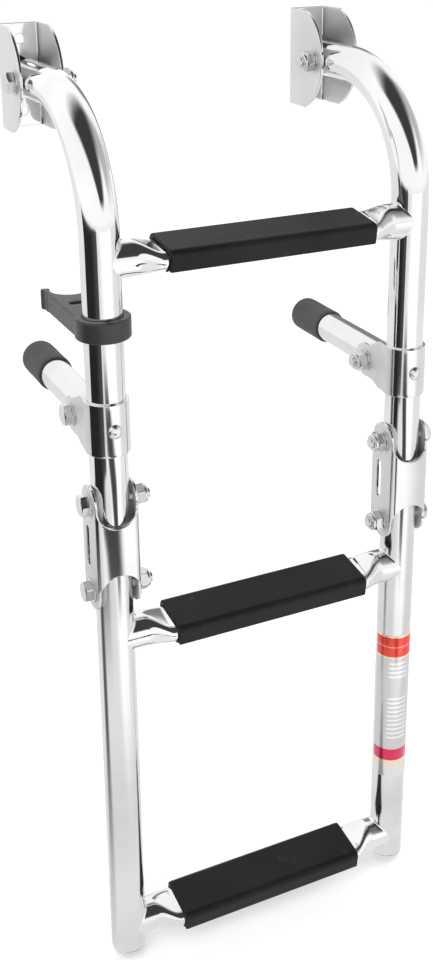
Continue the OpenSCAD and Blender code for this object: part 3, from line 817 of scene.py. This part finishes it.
def collar_screw():
    """Round-head screw that points out of the front of the collar."""
    r, h, shank_r = 4.75, 2.6, 2.5
    rows = [(-SHEET, shank_r), (0.0, shank_r), (GAP, r - 0.15), (0.15, r)]
    rows += [(0.2 + (h - 0.2) * math.sin(math.radians(a)), r * math.cos(math.radians(a)) * 0.995)
             for a in range(8, 82, 8)]
    lo, hi = box_mm("collar_screws")
    z = (lo.z + hi.z) / 2
    y = RAIL_Y - RAIL_R - SHEET
    return Shape().join(lathe(rows + [(h, 0.4)], 48),
                        lambda v: (RAIL_X + v[1], y - v[0], z + v[2]))


make("collar_screw_pair", both_sides(collar_screw()), "upper_section",
     [BOLT_STEEL], ["collar_screws"])

# ---------- stand-off arms ----------
arm_lo, arm_hi = box_mm("arm_right")
cap_lo, cap_hi = box_mm("arm_cap_right")
ARM_R, ARM_WALL = (arm_hi.x - arm_lo.x) / 2, 1.5
arm_z = ARM_PIVOT[2]


def cap_shape():
    """Moulded rubber cap: domed face, rounded shoulder, a faint waist and a rolled mouth."""
    r, length, bore = (cap_hi.x - cap_lo.x) / 2, cap_hi.y - cap_lo.y, ARM_R + 0.03
    rows = [(0.0, 0.0001), (0.05, 3.0), (0.12, r - 5.0)]
    rows += [(0.15 + 4.2 * (1 - math.cos(math.radians(a))),
              r - 4.6 + 4.4 * math.sin(math.radians(a))) for a in range(8, 91, 8)]
    rows += [(length * 0.3, r - 0.08), (length * 0.6, r - 0.22), (length - 4.2, r - 0.12)]
    rows += [(length - 2.2, r - 0.02), (length - 1.0, r - 0.1), (length - 0.3, r - 0.5),
             (length, r - 1.1), (length - 0.1, ARM_R + 0.12), (length - 6, bore), (6.0, bore),
             (6.0, 0.001)]
    return Shape().join(lathe(rows, 72), lambda v: (RAIL_X + v[1], cap_hi.y - v[0], arm_z + v[2]))


arm = tube(straight((RAIL_X, arm_lo.y, arm_z), (RAIL_X, arm_hi.y, arm_z), AXIS_X, AXIS_Z, 6),
           ARM_R, ARM_R - ARM_WALL)
cap = cap_shape()
for side, place in SIDES:
    make("arm_tube_" + side, Shape().join(arm, place), "standoff_" + side, [SATIN],
         ["arm_" + side], weighted=False)
    make("arm_cap_rubber_" + side, Shape().join(cap, place), "standoff_" + side,
         [RUBBER], ["arm_cap_" + side])


# ---------- retaining clip ----------
def clip_shape():
    """Moulded clip: a ring round the left rail, a web with a slot, and an open cradle whose
    two lips snap over the folded lower rail."""
    lo, hi = box_mm("retaining_clip")
    height, ring, web, reach = hi.z - lo.z, 17.5, 16.0, 62.0
    out_r, in_r, lip = web + 0.5, RAIL_R + 0.3, 11.6
    bead_x, bead_y, bead_r = web - 0.6, reach + 5.7, 2.4
    join = math.degrees(math.acos(web / ring))
    low = math.degrees(math.acos(web / out_r))
    edge = math.degrees(math.acos(lip / in_r))
    pts = arc(0, 0, ring, -180 - join, join, 72)
    pts += arc(0, reach, out_r, -low, 8, 8)
    pts += arc(bead_x, bead_y, bead_r, -42, 120, 16)
    pts += [(lip + 0.9, reach + 6.9), (lip + 0.1, reach + 6.4)]
    pts += arc(0, reach, in_r, edge, -180 - edge, 72)
    pts += [(-lip - 0.1, reach + 6.4), (-lip - 0.9, reach + 6.9)]
    pts += arc(-bead_x, bead_y, bead_r, 60, 222, 16)
    pts += arc(0, reach, out_r, 172, 180 + low, 8)
    bore = circle(0, 0, RAIL_R + 0.06, 72)
    slot = []
    for cx, cy, a in ((8.8, 30.2, -90), (8.8, 32.8, 0), (-8.8, 32.8, 90), (-8.8, 30.2, 180)):
        slot += arc(cx, cy, 1.2, a, a + 90, 5)
    z = (lo.z + hi.z) / 2
    return plate([pts, bore, slot[::-1]], height, 1.1,
                 lambda x, y, n: (-RAIL_X + x, RAIL_Y + y, z + n), steps=4)


make("rail_clip", clip_shape(), "clip", [CLIP], ["retaining_clip"])


# ---------- decal ----------
def decal_shape():
    """Thin film round the front half of the right lower rail, thinned out at its edges."""
    lo, hi = box_mm("decal")
    n, t, base_r = 64, 0.3, RAIL_R + GAP
    levels = [(0.0, GAP), (0.05, t * 0.7), (0.3, t)]
    rows = [(lo.z + d, RAIL_R + h) for d, h in levels]
    rows += [(hi.z - d, RAIL_R + h) for d, h in reversed(levels)]
    edge = math.degrees(math.asin(2.0 / RAIL_R))
    turns = [math.radians(-180 - edge + (180 + 2 * edge) * i / n) for i in range(n + 1)]

    def ring(z, r, ends_r):
        radii = [ends_r] + [r] * (n - 1) + [ends_r]
        return [(RAIL_X + h * math.cos(a), RAIL_Y + h * math.sin(a), z)
                for h, a in zip(radii, turns)]
    verts = [p for z, r in rows for p in ring(z, r, base_r)]
    verts += [p for z in (lo.z, hi.z) for p in ring(z, RAIL_R, RAIL_R)]  # against the rail
    w, m = n + 1, len(rows)
    base, top = m * w, (m - 1) * w
    faces = grid_faces(m, w, ring=False)
    faces += [[base + i, base + w + i, base + w + i + 1, base + i + 1] for i in range(n)]
    faces += [[base + i, base + i + 1, i + 1, i] for i in range(n)]
    faces += [[base + w + i + 1, base + w + i, top + i, top + i + 1] for i in range(n)]
    faces += [[base + i, base + w + i] + [k * w + i for k in reversed(range(m))] for i in (0, n)]
    return Shape().add(verts, faces)


make("rail_decal", decal_shape(), "lower_section", [DECAL], ["decal"], weighted=False)

# ---------- studio ----------
# Metres from here on. The floor, the cards and the lights are staging, not part of the object.
scene = bpy.context.scene
FLOOR_Z = cad_box[0].z - 0.004
FLOOR_REACH = 60.0
STUDIO = Vector((0.0, -0.144, -0.10))  # the cards are laid out round this point


def floor_material():
    """Plain pale floor."""
    mat, tree, shader = nodes_of("studio_floor")
    cloud = noise_tex(tree, 1.5, detail=3)
    tree.links.new(mix(tree, cloud, (0.93, 0.93, 0.93), (0.96, 0.96, 0.96)),
                   shader.inputs["Base Color"])
    shader.inputs["Roughness"].default_value = 0.9
    shader.inputs["Specular IOR Level"].default_value = 0.1
    return mat


def staged(name, verts, faces, material):
    """A mesh that belongs to the studio."""
    mesh = bpy.data.meshes.new(name)
    mesh.from_pydata(verts, [], faces)
    mesh.materials.append(material)
    obj = bpy.data.objects.new(name, mesh)
    scene.collection.objects.link(obj)
    return obj


turns = [2 * math.pi * i / 64 for i in range(64)]
staged("studio_floor_plane",
       [Vector((FLOOR_REACH * math.cos(a), FLOOR_REACH * math.sin(a), FLOOR_Z)) for a in turns],
       [list(range(len(turns)))], floor_material())


def around(azimuth, reach, z):
    """Point at a distance round the object. Azimuth 0 is in front, at -Y."""
    a = math.radians(azimuth)
    return (STUDIO.x + reach * math.sin(a), STUDIO.y - reach * math.cos(a), z)


def card_material(name, grey, fade):
    """Even glow of one grey, faded out along the edges of the card's own sheet."""
    mat = bpy.data.materials.new(name + "_card")
    mat.use_nodes = True
    tree = mat.node_tree
    tree.nodes.clear()
    surface = node(tree, "ShaderNodeEmission", Strength=1.0)
    surface.inputs["Color"].default_value = (grey, grey, grey, 1)
    split = node(tree, "ShaderNodeSeparateXYZ")
    tree.links.new(node(tree, "ShaderNodeTexCoord").outputs["UV"], split.inputs[0])
    cover = None
    for k, soft in enumerate(fade):
        if soft <= 0:
            continue
        ramp = node(tree, "ShaderNodeMapRange", interpolation_type="SMOOTHSTEP")
        ramp.inputs["From Min"].default_value = k % 2
        ramp.inputs["From Max"].default_value = 1.0 - soft if k % 2 else soft
        tree.links.new(split.outputs[k // 2], ramp.inputs["Value"])
        ramp = ramp.outputs[0]
        cover = ramp if cover is None else maths(tree, "MULTIPLY", cover, ramp)
    if cover is not None:
        blend = node(tree, "ShaderNodeMixShader")
        tree.links.new(cover, blend.inputs[0])
        tree.links.new(node(tree, "ShaderNodeBsdfTransparent").outputs[0], blend.inputs[1])
        tree.links.new(surface.outputs[0], blend.inputs[2])
        surface = blend
    tree.links.new(surface.outputs[0], node(tree, "ShaderNodeOutputMaterial").inputs[0])
    return mat


def card(name, point, azimuths, span, grey, fade=(0, 0, 0, 0)):
    """Card seen only in reflections. point(azimuth, s) gives its shape; fade gives the soft
    part at the low and high azimuth and at the low and high end of the span."""
    n = 24
    uvs = [(i / n, j / n) for j in range(n + 1) for i in range(n + 1)]
    verts = [point(azimuths[0] + (azimuths[1] - azimuths[0]) * i / n,
                   span[0] + (span[1] - span[0]) * j / n)
             for j in range(n + 1) for i in range(n + 1)]
    obj = staged(name, verts, grid_faces(n + 1, n + 1, ring=False),
                 card_material(name, grey, fade))
    layer = obj.data.uv_layers.new(name="sheet")
    for loop in obj.data.loops:
        layer.data[loop.index].uv = uvs[loop.vertex_index]
    obj.visible_camera = obj.visible_diffuse = obj.visible_shadow = False


def wall(reach):
    """Upright card: azimuth round the object, and height."""
    return lambda az, z: around(az, reach, z)


def ground(lift):
    """Card a little above the floor: azimuth, and distance from the object."""
    return lambda az, reach: around(az, reach, FLOOR_Z + lift)


def dome(reach):
    """Part of a ball: azimuth and elevation."""
    return lambda az, el: around(az, reach * math.cos(math.radians(el)),
                                 STUDIO.z + reach * math.sin(math.radians(el)))


def ceiling(height, azimuth):
    """Level card overhead: its first coordinate runs across, its second away from the top."""
    a = math.radians(azimuth)

    def point(across, away):
        return (STUDIO.x + height * (away * math.sin(a) + across * math.cos(a)),
                STUDIO.y + height * (across * math.sin(a) - away * math.cos(a)),
                STUDIO.z + height)
    return point


def trail(lift, stops):
    """Patch lying on the floor that follows stops of (reach, azimuth, half width in degrees)."""
    def point(side, t):
        k = min(int(t), len(stops) - 2)
        reach, az, half = [u + (v - u) * (t - k) for u, v in zip(stops[k], stops[k + 1])]
        x, y, z = around(az + side * half, reach, FLOOR_Z + lift)
        return (x - 0.05, y, z)
    return point


# light floor that the tubes mirror, brighter towards the front right
card("card_floor", ground(0.001), (-180, 180), (0.001, 7.0), 0.87)
card("card_floor_bright", ground(0.002), (-34, 56), (0.08, 7.0), 1.3, (0.35, 0.3, 0.05, 0))
# dark patches on the floor: at the left, in front and beside the object
card("card_floor_left", ground(0.003), (-110, -44), (0.40, 0.9), 0.02, (0.1, 0.3, 0.8, 0))
front_stops = [(0.46, 8, 13), (0.62, 7, 14), (0.78, 4, 22), (0.92, -9, 22), (1.1, -17, 14),
               (1.4, -21, 11)]
card("card_floor_front", trail(0.004, front_stops), (-1, 1), (0, len(front_stops) - 1), 0.065,
     (0.2, 0.35, 0.1, 0.25))
card("card_floor_side", ground(0.005), (-118, -86), (0.04, 0.9), 0.10, (0.35, 0.4, 0.45, 0))
# dark wall at the left with a darker core: the black bands of the upright tubes
card("card_left", wall(0.9), (-110, -38), (FLOOR_Z, -0.09), 0.075, (0.02, 0.06, 0, 0.12))
card("card_left_core", wall(0.88), (-109, -43), (FLOOR_Z, -0.10), 0.02, (0.02, 0.45, 0, 0.2))
# grey behind and at the right, and the dark strip overhead that the swan necks mirror
card("card_back", wall(1.4), (134, 158), (FLOOR_Z, 0.9), 0.25, (0.3, 0.3, 0, 0.3))
card("card_right", dome(3.4), (48, 118), (0, 80), 0.52, (0.3, 0.3, 0.3, 0.2))
card("card_overhead", ceiling(2.2, 14), (-0.80, 1.10), (-0.5, 5.2), 0.05,
     (0.16, 0.40, 0.09, 0.45))


LIGHT_TARGET = Vector((0, -0.1, -0.3))


def area(name, location, size, power):
    """Square soft light turned to the object. It doesn't show in reflections."""
    light = bpy.data.lights.new(name, "AREA")
    light.shape = "RECTANGLE"
    light.size = light.size_y = size
    light.energy = power
    obj = bpy.data.objects.new(name, light)
    obj.location = location
    obj.rotation_mode = "QUATERNION"
    aim = LIGHT_TARGET - Vector(location)
    obj.rotation_quaternion = aim.to_track_quat("-Z", "Y")
    scene.collection.objects.link(obj)
    obj.visible_glossy = False


area("key", (-1.6, -2.0, 2.2), 1.6, 36)
area("fill", (2.2, -1.4, 1.2), 1.4, 14)

world = bpy.data.worlds.new("studio")
scene.world = world
world.use_nodes = True
sky = world.node_tree.nodes["Background"]
sky.inputs["Color"].default_value = (1, 1, 1, 1)
sky.inputs["Strength"].default_value = 1.08
scene.view_settings.view_transform = "Standard"
scene.view_settings.look = "None"

# ---------- camera ----------
EYE = (-0.3530, -0.8298, 0.1138)
YAW, PITCH, ROLL = math.radians(24.98), math.radians(18.76), math.radians(-0.68)

cam = bpy.data.cameras.new("camera")
cam_obj = bpy.data.objects.new("camera", cam)
scene.collection.objects.link(cam_obj)
scene.camera = cam_obj
look = Vector((math.sin(YAW) * math.cos(PITCH), math.cos(YAW) * math.cos(PITCH),
               -math.sin(PITCH)))
flat_right = Vector((math.cos(YAW), -math.sin(YAW), 0))
flat_up = flat_right.cross(look)
right = math.cos(ROLL) * flat_right + math.sin(ROLL) * flat_up
up = -math.sin(ROLL) * flat_right + math.cos(ROLL) * flat_up
pose = Matrix((right, up, -look)).transposed().to_4x4()
pose.translation = Vector(EYE)
cam_obj.matrix_world = pose
cam.sensor_width = 36.0
cam.lens = 47.04
cam.shift_y = -0.1667  # the photo is an off-centre crop
cam.clip_start, cam.clip_end = 0.05, 200
